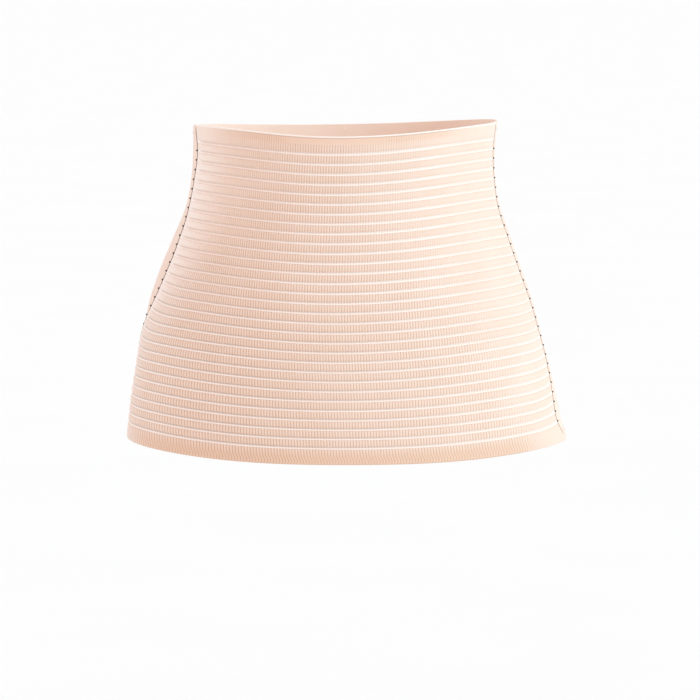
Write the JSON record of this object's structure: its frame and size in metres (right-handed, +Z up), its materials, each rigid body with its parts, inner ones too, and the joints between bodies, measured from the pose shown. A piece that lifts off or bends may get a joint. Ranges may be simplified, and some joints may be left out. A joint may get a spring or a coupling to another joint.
{
  "type": "abdominal binder",
  "caption": "Elastic abdominal binder in its worn shape, with a striped, ribbed front panel seamed to plain wings that fasten at the back.",
  "frame": {"origin": "on the axis of the body that it is worn on, level with the lowest point of the hem", "axes": "+Z up along the body, +X to the right as the front is seen, the front faces -Y"},
  "size_m": [0.3725, 0.2344, 0.2774],
  "materials": {
    "striped_web": "matte ribbed elastic web with pale openwork stripes",
    "plain_web": "matte plain elastic web with a fine diagonal weave",
    "fastener": "matte hook-and-loop tape"
  },
  "bodies": {
    "root": {"front_panel": "striped_web", "left_wing": "plain_web", "right_wing": "plain_web", "back_fastener": "fastener"}
  },
  "joints": []
}
